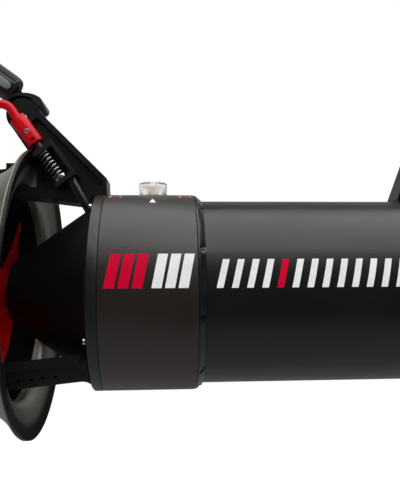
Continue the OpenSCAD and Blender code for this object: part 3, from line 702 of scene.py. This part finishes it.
def smooth_path(points: Sequence[Point], steps: int) -> list[Vector]:
    """Points of a smooth curve through the given ones.

    Args:
        points: The points that the curve runs through.
        steps: Points made for each span.

    Returns:
        The curve's points.
    """
    knots = [Vector(p) for p in points]
    path = []
    for i in range(len(knots) - 1):
        a, b = knots[max(i - 1, 0)], knots[i]
        c, d = knots[i + 1], knots[min(i + 2, len(knots) - 1)]
        for s in range(steps):
            t = s / steps
            path.append(0.5 * (2 * b + (c - a) * t + (2 * a - 5 * b + 4 * c - d) * t * t
                               + (3 * b - a - 3 * c + d) * t ** 3))
    path.append(knots[-1])
    return path


def tube(
    name: str, path: Sequence[Vector], radius: float | Callable[[int], float],
    sides: int = 24, across: Point = (0, 1, 0),
) -> bpy.types.Mesh:
    """A round tube swept along a path.

    Args:
        name: The mesh's name.
        path: The path's points.
        radius: The tube's radius, or a function from the point's number to it.
        sides: Faces round the tube.
        across: A direction that the path never runs along.

    Returns:
        The mesh.
    """
    rings = []
    for i, point in enumerate(path):
        along = (path[min(i + 1, len(path) - 1)] - path[max(i - 1, 0)]).normalized()
        u = Vector(across).cross(along).normalized()
        v = along.cross(u)
        r = radius(i) if callable(radius) else radius
        rings.append([
            point + r * (math.cos(2 * math.pi * k / sides) * u
                         + math.sin(2 * math.pi * k / sides) * v)
            for k in range(sides)
        ])
    return mesh_from_rings(name, rings)


# ---------------------------------------------------------------- the object


@dataclass
class CadDress:
    """The finishes and edge rounds of the frame's own nodes."""

    nodes: dict[str, bpy.types.Object]
    fine_round: float = 0.0004
    body_round: float = 0.0020

    FINISHES = {
        "hull_tube": HULL_BLACK, "tail_housing": TAIL_GREY, "joint_ring": BEVEL_DARK,
        # The side arms' finish is a shaded copy of the rings' finish: painted shade.
        "tail_ring": RING_DARK, "near_arm": ARM_SHADED, "far_arm": ARM_SHADED,
        "top_arm": RING_DARK, "stern_cone": CONE_BLACK, "nose_cap": NOSE_BLACK,
        "shroud_bell": SHROUD_GREY, "throat_liner": THROAT_SHADE_BLACK, "tow_eye": BEAM_BLACK,
        "handle_beam": BEAM_BLACK, "hand_guard": GUARD_BLACK, "grip_cap": BEAM_BLACK,
        "grip_sleeve": GRIP_RUBBER, "carry_handle": BEAM_BLACK,
        "spring_bracket": BRACKET_BLACK, "pushrod": BRACKET_BLACK,
        "return_spring": SPRING_STEEL, "trigger_sleeve": TRIGGER_RED,
        "trigger_bar": TRIGGER_RED, "propeller": PROPELLER_RED, "speed_dial": DIAL_CLEAR,
        "dial_spindle": DIAL_WHITE, "bulkhead": ALUMINIUM, "motor_housing": ALUMINIUM,
        "controller_plate": ALUMINIUM, "battery_plates": ALUMINIUM, "rod_magnet": MAGNET,
        "rotor_magnets": MAGNET, "rotor": IRON, "stator": IRON, "windings": COPPER,
        "sensor_board": BOARD_GREEN, "controller_board": BOARD_GREEN,
        "capacitors": CAN_BLACK, "battery_rear": PACK_BLUE, "battery_front": PACK_BLUE,
        "joint_screws": SCREW_DARK, "power_leads": LEAD_RED, "trim_weight": LEAD_METAL,
        "nose_o_rings": SEAL_RUBBER, "tail_o_rings": SEAL_RUBBER, "shaft_seal": SEAL_RUBBER,
    }
    BODY_ROUNDED = ("handle_beam", "hand_guard", "carry_handle", "near_arm", "far_arm",
                    "top_arm", "tow_eye")
    FINE_ROUNDED = ("spring_bracket", "joint_ring", "tail_ring", "tail_housing", "speed_dial",
                    "trigger_sleeve", "spring_collar", "prop_nut", "joint_screws",
                    "ring_screws", "sleeve_screws", "beam_bolts", "carry_handle_bolts",
                    "tow_eye_screws", "grip_cap", "grip_bolt")

    def dress(self) -> None:
        """Gives each node its finish and rounds the edges that show."""
        for name, node in self.nodes.items():
            finish = self.FINISHES.get(name, STEEL)
            node.data.materials.clear()
            node.data.materials.append(finish.material())
        for name in self.BODY_ROUNDED:
            soften(self.nodes[name], self.body_round, segments=3)
        for name in self.FINE_ROUNDED:
            soften(self.nodes[name], self.fine_round, segments=2)
        LOG.info("dressed %d frame nodes", len(self.nodes))


@dataclass
class Propeller:
    """The red two-blade propeller, finer than the frame's.

    Lengths are in metres. The chord, the thickness and the rake change from root to tip.
    """

    tip: float = 0.0975
    root: float = 0.020
    hub: float = 0.0255
    bore: float = 0.0062
    nut_pocket: float = 0.015
    pocket_depth: float = 0.006
    hub_edge: float = 0.003
    centre: float = -0.210
    front: float = -0.193
    back: float = -0.229
    pitch: float = 0.175
    first_blade: float = 133.0
    root_chord: float = 0.040
    chord_swell: float = 0.026
    chord_taper: float = 0.012
    root_thickness: float = 0.007
    tip_thinning: float = 0.0046
    fillet: float = 0.006
    rake: float = 0.004
    stations: int = 28
    sides: int = 28

    def _station(self, r: float) -> list[Vector]:
        """One closed section of the blade that points along +Z.

        Args:
            r: The section's radius in metres.

        Returns:
            The section's points.
        """
        f = (r - self.root) / (self.tip - self.root)
        swell = math.sin(math.radians(150 * f))
        chord = self.root_chord + self.chord_swell * swell - self.chord_taper * f
        # The last fifth of the blade rounds off towards the tip.
        chord *= math.sqrt(max(0.02, 1 - max(0.0, (f - 0.8) / 0.2) ** 2.6))
        thick = self.root_thickness - self.tip_thinning * f
        thick += self.fillet * max(0.0, 1 - (r - self.hub) / self.fillet) ** 2
        twist = math.atan(self.pitch / (2 * math.pi * r))
        rake = self.rake * f
        points = []
        for k in range(self.sides):
            a = 2 * math.pi * k / self.sides
            s = chord / 2 * math.cos(a)
            h = thick / 2 * math.sin(a) * (0.55 + 0.45 * abs(math.sin(a)))
            points.append(Vector((
                self.centre + rake + s * math.sin(twist) + h * math.cos(twist),
                -s * math.cos(twist) + h * math.sin(twist), r)))
        return points

    def _blade(self, turn: float) -> bpy.types.Mesh:
        """One blade at an angle from starboard upwards, in degrees."""
        spin = Matrix.Rotation(math.radians(90 - turn), 4, "X")
        reach = self.tip - 0.0005 - self.root
        radii = [self.root + reach * i / (self.stations - 1) for i in range(self.stations)]
        rings = [[spin @ p for p in self._station(r)] for r in radii]
        return mesh_from_rings("blade", rings)

    def build(self) -> None:
        """Builds the hub and both blades as one piece."""
        edge = self.hub_edge
        floor = self.back + self.pocket_depth
        hub = lathe("propeller_moulding", [
            *arc((self.front - edge, self.hub - edge), edge, 90, 0, 6),
            (self.front, self.bore), (floor, self.bore), (floor, self.nut_pocket),
            (self.back, self.nut_pocket),
            *arc((self.back + edge, self.hub - edge), edge, 180, 90, 6)], 96)
        piece = new_object("propeller_moulding", hub)
        form = bmesh.new()
        form.from_mesh(hub)
        for turn in (self.first_blade, self.first_blade + 180):
            form.from_mesh(self._blade(turn))
        form.to_mesh(hub)
        form.free()
        hub.shade_smooth()
        sharpen(piece, 40)
        finish_piece(piece, Body.SCREW, PROPELLER_RED, "propeller_red", ("propeller",))


@dataclass
class TriggerAssembly:
    """The red trigger bar and the return spring on the pushrod.

    Lengths are in metres, heights are measured up the rod from its foot, and the slope is in degrees.
    """

    foot: Point = (-0.1159, -0.030, 0.0824)
    slope: float = 53.5
    bar_radius: float = 0.0045
    bar_end_rings: int = 4
    spring_low: float = 0.0435
    spring_high: float = 0.072
    spring_radius: float = 0.0063
    wire: float = 0.0009
    coils: float = 7.0
    dead_coils: float = 0.045
    steps: int = 30
    travel: float = 0.010
    bar_start: tuple[float, ...] = (0.105, 0.120, 0.131)
    bar_bends: tuple[Point, ...] = (
        (-0.203, -0.030, 0.191), (-0.222, -0.026, 0.192), (-0.238, -0.011, 0.196),
        (-0.252, -0.001, 0.205), (-0.262, 0, 0.2124), (-0.272, 0, 0.2196))

    def along(self, up: float) -> Vector:
        """A point on the rod's axis, a distance up from its foot."""
        return Vector(self.foot) + up * self.up_axis()

    def up_axis(self) -> Vector:
        """The direction of the pull, up and aft."""
        a = math.radians(self.slope)
        return Vector((-math.cos(a), 0, math.sin(a)))

    def build(self) -> None:
        """Builds the bar and the spring."""
        self._bar()
        self._spring()

    def _bar(self) -> None:
        """The bar, swept from the sleeve aft and in under the grip, with a rounded end."""
        route = [*(tuple(self.along(up)) for up in self.bar_start), *self.bar_bends]
        path = smooth_path(route, 10)
        last = len(path) - 1

        def radius(i: int) -> float:
            """The bar's radius, drawn in over the last few rings."""
            left = (last - i) / self.bar_end_rings
            return self.bar_radius * (math.sqrt(1 - (1 - left) ** 2) if left < 1 else 1) + 1e-5

        piece = new_object("trigger_lever", tube("trigger_lever", path, radius, 28))
        finish_piece(piece, Body.TRIGGER, TRIGGER_RED, "trigger_red", ("trigger_bar",))

    def _spring(self) -> None:
        """The compression spring, coiled up the rod towards the bracket's upper leg."""
        up = self.up_axis()
        side = Vector((0, 1, 0))
        out = side.cross(up)
        length = self.spring_high - self.spring_low - 2 * self.wire
        count = int(self.coils * self.steps)
        points = []
        for i in range(count + 1):
            a = 2 * math.pi * i / self.steps
            # The wire lies flat over the dead share at each end.
            rise = (i / count - self.dead_coils) / (1 - 2 * self.dead_coils)
            rise = min(1.0, max(0.0, rise))
            points.append(self.along(self.spring_low + self.wire + length * rise)
                          + self.spring_radius * (math.cos(a) * out + math.sin(a) * side))
        piece = new_object("spring_coil", tube("spring_coil", points, self.wire, 12, tuple(up)))
        finish_piece(piece, Body.HULL, SPRING_STEEL, "spring_steel", ("return_spring",))
        tuple(self.along(self.spring_high))
        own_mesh(piece)


@dataclass
class Grip:
    """The rubber pistol grip, with grooves that run along its back and a smooth inlay in each flank.

    Angles are in degrees from the grip's back, and lengths are in metres.
    """

    start: tuple[float, float] = (-0.1905, 0.2099)
    slope: float = 36.0
    first: float = 0.006
    length: float = 0.0955
    radius: float = 0.0148
    groove: float = 0.0013
    groove_pitch: float = 15.0
    grooved: float = 70.0
    strip: tuple[float, float] = (78.0, 112.0)
    strip_proud: float = 0.00022
    strip_depth: float = 0.0004
    strip_first: float = 0.0015
    strip_last: float = 0.007
    strip_rows: int = 40
    strip_columns: int = 14
    edge_round: float = 0.006
    steps_along: int = 60
    steps_round: int = 144

    def _axis(self) -> Vector:
        """The direction up the grip, aft and up."""
        a = math.radians(self.slope)
        return Vector((-math.cos(a), 0, math.sin(a)))

    def _back(self) -> Vector:
        """The direction from the grip's axis to its back, square to the axis."""
        a = math.radians(self.slope)
        return Vector((math.sin(a), 0, math.cos(a)))

    def _centre(self, along: float) -> Vector:
        """The point on the grip's axis at a distance up it."""
        return Vector((self.start[0], 0, self.start[1])) + along * self._axis()

    def _groove(self, angle: float, swell: float) -> float:
        """The groove's depth at an angle from the grip's back, in degrees."""
        if abs(angle) > self.grooved:
            return 0.0
        wave = 0.5 - 0.5 * math.cos(2 * math.pi * angle / self.groove_pitch)
        return self.groove * (1 - wave ** 0.7) * min(1.0, max(0.0, (swell - 0.9) / 0.1))

    def _ring(self, along: float, swell: float) -> list[Vector]:
        """One section of the grip.

        Args:
            along: The distance up the grip's axis.
            swell: The share of the full section, from 0 to 1.

        Returns:
            The section's points.
        """
        back, side = self._back(), Vector((0, 1, 0))
        centre = self._centre(along)
        points = []
        for k in range(self.steps_round):
            angle = 360.0 * k / self.steps_round
            t = math.radians(angle)
            cut = self._groove(angle if angle <= 180 else angle - 360, swell)
            points.append(centre + (back * math.cos(t) + side * math.sin(t))
                          * (self.radius * swell - cut))
        return points

    def build(self) -> None:
        """Builds the sleeve with its grooves, and the inlays in its flanks."""
        rings = []
        for i in range(self.steps_along + 1):
            share = 0.5 - 0.5 * math.cos(math.pi * i / self.steps_along)
            along = self.first + (self.length - self.first) * share
            inside = min(1.0, min(along - self.first, self.length - along) / self.edge_round)
            swell = math.sqrt(max(0.0, 1 - (1 - inside) ** 2)) * 0.2 + 0.8
            rings.append(self._ring(along, swell))
        piece = new_object("grip_rubber_sleeve", mesh_from_rings("grip_rubber_sleeve", rings))
        sharpen(piece, 50)
        finish_piece(piece, Body.HULL, GRIP_RUBBER, "grip_rubber", ("grip_sleeve",))
        for name, side in (("near", -1), ("far", 1)):
            self._flank(name, side)

    def _flank(self, name: str, side: int) -> None:
        """A thin smooth inlay along one flank, painted lighter than the rubber as the highlight that
        the overhead light makes on the flank.

        Args:
            name: Which flank it is.
            side: -1 for starboard or 1 for port.
        """
        low, high = (math.radians(v) for v in self.strip)
        middle = (low + high) / 2
        first = self.first + self.strip_first
        last = self.length - self.strip_last
        steps = self.strip_columns
        rings = []
        for i in range(self.strip_rows + 1):
            share = i / self.strip_rows
            narrow = math.sqrt(max(0.0, 1 - abs(2 * share - 1) ** 14))
            reach = (high - low) / 2 * max(0.05, narrow)
            centre = self._centre(first + (last - first) * share)
            ring = []
            for skin, lift in ((1, self.strip_proud), (-1, -self.strip_depth)):
                for k in range(steps + 1):
                    t = middle + reach * (2 * k / steps - 1) * skin
                    out = self._back() * math.cos(t) + Vector((0, side * math.sin(t), 0))
                    ring.append(centre + (self.radius + lift) * out)
            rings.append(ring)
        piece = new_object(f"grip_inlay_{name}", mesh_from_rings(f"grip_inlay_{name}", rings))
        sharpen(piece, 40)
        finish_piece(piece, Body.HULL, INLAY_HIGHLIGHT, "grip_rubber")


@dataclass(frozen=True)
class MarkRow:
    """A row of printed bars on the hull's starboard flank.

    Places along the hull, widths and the radius are in metres. Angles are in degrees upwards from
    starboard. Each bar leans forward by the lean over its height.
    """

    name: str
    radius: float
    low: float
    high: float
    first: float
    pitch: float
    width: float
    lean: float
    inks: tuple[Finish, ...]


@dataclass
class PrintedMarks:
    """Plain printed bars on the hull, the pointer and ticks round the dial, and a dark ring of
    painted shade at the dial's foot.
    """

    tube_radius: float = 0.095
    tail_radius: float = 0.1015
    proud: float = 0.00012
    pointer_x: float = -0.0485
    pointer_half: float = 0.0031
    pointer_low: float = 60.0
    pointer_high: float = 66.0
    shade_ring_gap: float = 0.0002
    shade_ring_width: float = 0.0010
    shade_ring_proud: float = 0.0004
    shade_ring_depth: float = 0.0008
    shade_ring_steps: int = 96

    SLOT = "dial_white"

    def _hull_rows(self) -> list[MarkRow]:
        """The rows on the hull's side: three red bars, three white ones and a long row."""
        hull_inks = (*(MARK_WHITE,) * 4, MARK_RED, *(MARK_WHITE,) * 12)
        return [
            MarkRow("tail_block_red", self.tail_radius, 2.8, 20.6, -0.0910, 0.0125, 0.0095,
                    0.006, (MARK_RED,) * 3),
            MarkRow("tail_block_white", self.tail_radius, 2.8, 20.6, -0.0485, 0.0120, 0.0090,
                    0.006, (MARK_WHITE,) * 3),
            MarkRow("hull_bar", self.tube_radius, 2.8, 18.9, 0.010, 0.0138, 0.0062, 0.0065,
                    hull_inks),
        ]

    def _tick_rows(self) -> list[MarkRow]:
        """The short coloured ticks to each side of the dial."""
        inks = (MARK_ORANGE, MARK_RED, MARK_BLUE)
        return [MarkRow(f"speed_mark_{side}", self.tail_radius, 69.5, 72.5, first, 0.0052, 0.003,
                        0.0, inks) for side, first in (("aft", -0.0930), ("fore", -0.0225))]

    def build(self) -> None:
        """Builds every printed mark and the dark ring of painted shade round the dial."""
        for row in self._hull_rows():
            self._bars(row)
        self._pointer()
        for row in self._tick_rows():
            self._bars(row)
        self._shade_ring()

    def _patch(
        self, name: str, radius: float, outline: Callable[[float, float], tuple[float, float]],
        finish: Finish, columns: int = 10, rows: int = 14,
    ) -> None:
        """A thin mark that lies on a cylinder.

        Args:
            name: The piece's name.
            radius: The cylinder's radius.
            outline: Maps two shares from 0 to 1 to x in metres and an angle in degrees.
            finish: The mark's ink.
            columns: Faces along the hull.
            rows: Faces round the hull.
        """
        rings = []
        for j in range(rows + 1):
            ring = []
            for i in range(columns + 1):
                x, angle = outline(i / columns, j / rows)
                a = math.radians(angle)
                ring.append(Vector((x, -math.cos(a) * (radius + self.proud),
                                    math.sin(a) * (radius + self.proud))))
            rings.append(ring)
        piece = new_object(name, mesh_from_rings(name, rings, closed=False, caps=False))
        finish_piece(piece, Body.HULL, finish, self.SLOT)

    def _bars(self, row: MarkRow) -> None:
        """The solid slanted bars of one row."""
        for i, ink in enumerate(row.inks):
            foot = row.first + i * row.pitch

            def outline(u: float, v: float, foot: float = foot) -> tuple[float, float]:
                """Places a point of the bar."""
                return foot + row.width * u + row.lean * v, row.low + (row.high - row.low) * v

            self._patch(f"{row.name}_{i}", row.radius, outline, ink)

    def _pointer(self) -> None:
        """The small white triangle under the dial."""

        def outline(u: float, v: float) -> tuple[float, float]:
            """Places a point of the triangle, whose tip is at the top."""
            half = self.pointer_half * (1 - v) + 0.00005
            rise = self.pointer_high - self.pointer_low
            return self.pointer_x + (2 * u - 1) * half, self.pointer_low + rise * v

        self._patch("dial_pointer", self.tail_radius, outline, MARK_WHITE, 6, 8)

    def _shade_ring(self) -> None:
        """A dark rubber ring round the dial's foot, let into the hull's skin, that paints the shade
        of the dial's recess.
        """
        low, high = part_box("speed_dial")
        middle = (low.x + high.x) / 2
        inner = (high.x - low.x) / 2 + self.shade_ring_gap
        outer = inner + self.shade_ring_width
        section = ((inner, -self.shade_ring_depth), (inner, self.shade_ring_proud),
                   (outer, self.shade_ring_proud), (outer, -self.shade_ring_depth))
        rings = []
        for radius, up in (*section, section[0]):
            ring = []
            for i in range(self.shade_ring_steps):
                a = 2 * math.pi * i / self.shade_ring_steps
                x, y = middle + radius * math.cos(a), radius * math.sin(a)
                skin = math.sqrt(self.tail_radius ** 2 - y * y)
                ring.append(Vector((x, y, skin + up)))
            rings.append(ring)
        piece = new_object("dial_shade_ring", mesh_from_rings("dial_shade_ring", rings, caps=False))
        sharpen(piece, 40)
        # Painted shade: the ring is dark rubber, standing in for the shadowed wall of the dial's
        # recess.
        finish_piece(piece, Body.HULL, SEAL_RUBBER, "seal_rubber")


@dataclass(frozen=True)
class SoftLight:
    """A rectangular soft light that hangs at one point and faces another.

    Lengths are in metres and the power is in watts. A light that isn't shiny leaves no reflection.
    """

    name: str
    at: Point
    to: Point
    size: tuple[float, float]
    power: float
    shiny: bool = True

    def hang(self) -> None:
        """Adds the light to the scene, out of the camera's own sight."""
        light = bpy.data.lights.new(self.name, "AREA")
        light.shape = "RECTANGLE"
        light.size, light.size_y = self.size
        light.energy = self.power
        lamp = bpy.data.objects.new(self.name, light)
        lamp.location = self.at
        aim = Vector(self.to) - Vector(self.at)
        lamp.rotation_euler = aim.to_track_quat("-Z", "Y").to_euler()
        lamp.visible_glossy = self.shiny
        lamp.visible_camera = False
        bpy.context.scene.collection.objects.link(lamp)


@dataclass
class Studio:
    """The pale floor, the soft light and the camera.

    Lengths are in metres, the focal length is in millimetres and angles are in radians.
    """

    floor_height: float = -0.80
    floor_near: float = -0.95
    floor_far: float = 2.6
    floor_side: float = 6.0
    room_glow: float = 0.05
    focal: float = 42.14
    eye: Point = (-0.036655, -0.60106, 0.014991)
    yaw: float = 0.0630
    pitch: float = -0.0650
    roll: float = -0.0063

    LIGHTS = (
        SoftLight("overhead", (0.15, -0.30, 1.30), (0.15, -0.12, 0.0), (3.0, 1.9), 42.0),
        SoftLight("front_fill", (0.1, -2.2, 0.7), (0.1, 0, 0), (2.4, 1.2), 15.0, shiny=False),
        SoftLight("behind", (0.1, 2.4, 1.1), (0.1, 0.0, 0.0), (5.0, 1.6), 9.0),
        SoftLight("bounce", (0.1, 0.50, -0.78), (0.1, 0.50, 0.0), (4.4, 2.9), 9.0),
    )

    def build(self) -> None:
        """Sets the stage."""
        self._floor()
        self._sky()
        for light in self.LIGHTS:
            light.hang()
        self._camera()
        bpy.context.scene.view_settings.view_transform = "Standard"

    def _floor(self) -> None:
        """A broad pale floor, well below the object."""
        rings = [[Vector((side * self.floor_side, y, self.floor_height)) for side in (-1, 1)]
                 for y in (self.floor_near, self.floor_far)]
        floor = new_object("floor", mesh_from_rings("floor", rings, closed=False, caps=False))
        floor.data.materials.append(Backdrop("floor_pale", (0.9, 0.9, 0.9)).material())
        floor.visible_glossy = False

    def _sky(self) -> None:
        """White to the camera and through clear parts, and a dim even room to everything else."""
        world = bpy.data.worlds.new("studio")
        bpy.context.scene.world = world
        world.use_nodes = True
        tree = world.node_tree
        tree.nodes.clear()
        out = tree.nodes.new("ShaderNodeOutputWorld")
        mix = tree.nodes.new("ShaderNodeMixShader")
        seen = tree.nodes.new("ShaderNodeBackground")
        seen.inputs["Color"].default_value = (1, 1, 1, 1)
        room = tree.nodes.new("ShaderNodeBackground")
        room.inputs["Color"].default_value = (*(self.room_glow,) * 3, 1)
        path = tree.nodes.new("ShaderNodeLightPath")
        plain = tree.nodes.new("ShaderNodeMath")
        plain.operation = "MAXIMUM"
        tree.links.new(path.outputs["Is Camera Ray"], plain.inputs[0])
        tree.links.new(path.outputs["Is Transmission Ray"], plain.inputs[1])
        tree.links.new(plain.outputs[0], mix.inputs[0])
        tree.links.new(room.outputs[0], mix.inputs[1])
        tree.links.new(seen.outputs[0], mix.inputs[2])
        tree.links.new(mix.outputs[0], out.inputs["Surface"])

    def _camera(self) -> None:
        """The camera, off the starboard side by the tail section and nearly level with the axis."""
        turn = (Matrix.Rotation(self.roll, 3, "Y") @ Matrix.Rotation(self.pitch, 3, "X")
                @ Matrix.Rotation(self.yaw, 3, "Z")).transposed()
        right, ahead, above = (turn @ Vector(v) for v in ((1, 0, 0), (0, 1, 0), (0, 0, 1)))
        lens = bpy.data.cameras.new("camera")
        lens.lens = self.focal
        lens.sensor_width = 36.0
        lens.clip_start = 0.01
        camera = bpy.data.objects.new("camera", lens)
        camera.matrix_world = Matrix((
            (right.x, above.x, -ahead.x, self.eye[0]),
            (right.y, above.y, -ahead.y, self.eye[1]),
            (right.z, above.z, -ahead.z, self.eye[2]),
            (0, 0, 0, 1)))
        bpy.context.scene.collection.objects.link(camera)
        bpy.context.scene.camera = camera


def main() -> None:
    """Builds the studio and the object."""
    logging.basicConfig(level=logging.INFO, format="%(name)s: %(message)s")
    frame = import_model()
    Studio().build()
    CadDress(frame["nodes"]).dress()
    Propeller().build()
    TriggerAssembly().build()
    Grip().build()
    PrintedMarks().build()


if __name__ == "__main__":
    main()
